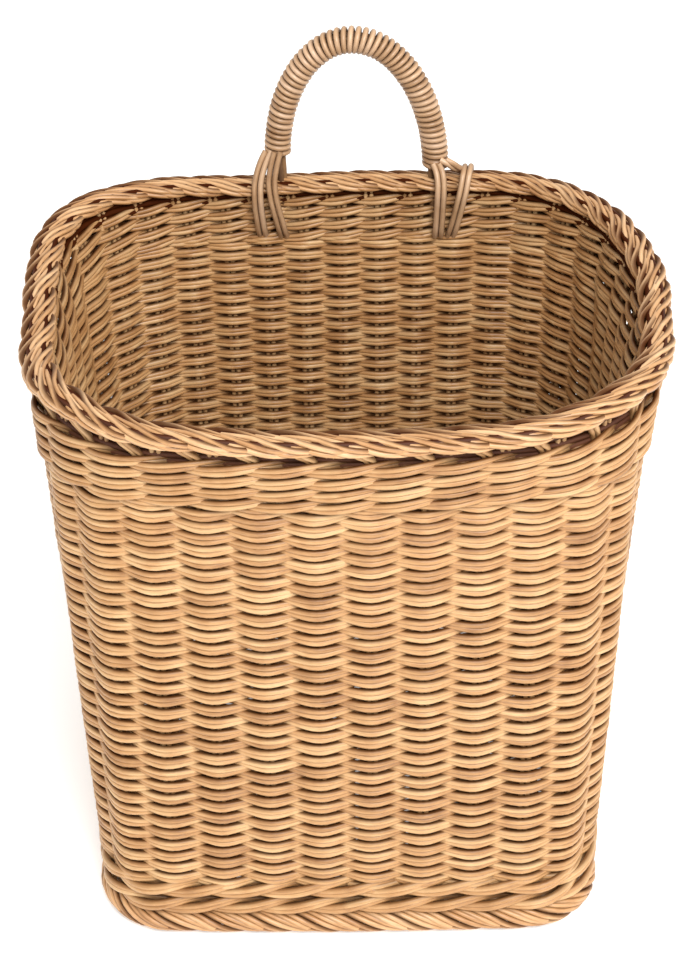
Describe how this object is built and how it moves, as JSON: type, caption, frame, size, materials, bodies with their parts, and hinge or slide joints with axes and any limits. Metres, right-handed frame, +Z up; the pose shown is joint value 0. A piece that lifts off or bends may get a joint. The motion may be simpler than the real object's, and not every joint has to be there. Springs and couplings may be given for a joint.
{
  "type": "wall basket",
  "caption": "Hanging wicker wall basket: rounded box body, flared collar, rope-like rim, woven foot and a wrapped bow handle at the back.",
  "frame": {"origin": "middle of the bounding box, on the surface that the foot border stands on", "axes": "+Z up, -Y to the front, +Y to the wall side that carries the handle, +X to the viewer's right"},
  "size_m": [0.278, 0.2364, 0.3461],
  "materials": {
    "cane": "satin round cane",
    "rim_cane": "satin round cane",
    "stake_cane": "matte round cane",
    "wrap_cane": "satin round cane",
    "core_cane": "matte cane bundle",
    "base_cane": "matte woven cane"
  },
  "bodies": {
    "root": {"base_panel": "base_cane", "body_weave": "cane", "collar_wale": "cane", "foot_border": "rim_cane", "foot_wale": "cane", "handle_core": "core_cane", "handle_wrap": "wrap_cane", "lashing_left_1": "wrap_cane", "lashing_left_2": "wrap_cane", "lashing_left_3": "wrap_cane", "lashing_left_4": "wrap_cane", "lashing_right_1": "wrap_cane", "lashing_right_2": "wrap_cane", "lashing_right_3": "wrap_cane", "lashing_right_4": "wrap_cane", "rim_border": "rim_cane", "stake_01": "stake_cane", "stake_02": "stake_cane", "stake_03": "stake_cane", "stake_04": "stake_cane", "stake_05": "stake_cane", "stake_06": "stake_cane", "stake_07": "stake_cane", "stake_08": "stake_cane", "stake_09": "stake_cane", "stake_10": "stake_cane", "stake_11": "stake_cane", "stake_12": "stake_cane", "stake_13": "stake_cane", "stake_14": "stake_cane", "stake_15": "stake_cane", "stake_16": "stake_cane", "stake_17": "stake_cane", "stake_18": "stake_cane", "stake_19": "stake_cane", "stake_20": "stake_cane", "stake_21": "stake_cane", "stake_22": "stake_cane", "stake_23": "stake_cane", "stake_24": "stake_cane", "stake_25": "stake_cane", "stake_26": "stake_cane", "stake_27": "stake_cane", "stake_28": "stake_cane", "stake_29": "stake_cane", "stake_30": "stake_cane", "stake_31": "stake_cane", "stake_32": "stake_cane", "stake_33": "stake_cane", "stake_34": "stake_cane", "stake_35": "stake_cane", "stake_36": "stake_cane", "stake_37": "stake_cane", "stake_38": "stake_cane", "stake_39": "stake_cane"}
  },
  "joints": []
}
